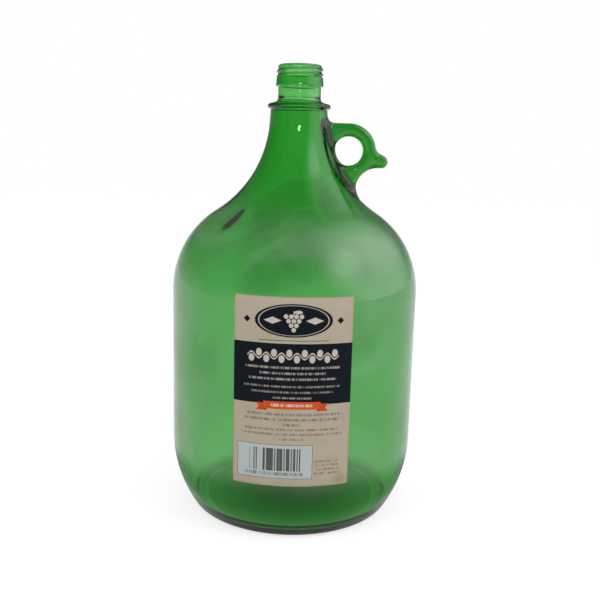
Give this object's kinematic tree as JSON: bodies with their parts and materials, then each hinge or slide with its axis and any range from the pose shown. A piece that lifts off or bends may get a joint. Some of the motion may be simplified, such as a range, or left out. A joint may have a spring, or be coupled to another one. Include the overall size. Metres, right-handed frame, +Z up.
{
  "type": "demijohn",
  "caption": "Round green glass demijohn with a narrow threaded neck, a ring handle with a thumb nub, and a paper label on its front.",
  "frame": {"origin": "middle of the plane that the jar stands on, on its axis", "axes": "+Z up the axis to the mouth, the handle along +X, the label facing -Y"},
  "size_m": [0.184, 0.1842, 0.3319],
  "materials": {
    "green_glass": "clear green, fire polished, slightly wavy",
    "label_paper": "matt uncoated paper with a printed panel"
  },
  "bodies": {
    "root": {"glass_jar": "green_glass", "paper_label": "label_paper"}
  },
  "joints": []
}
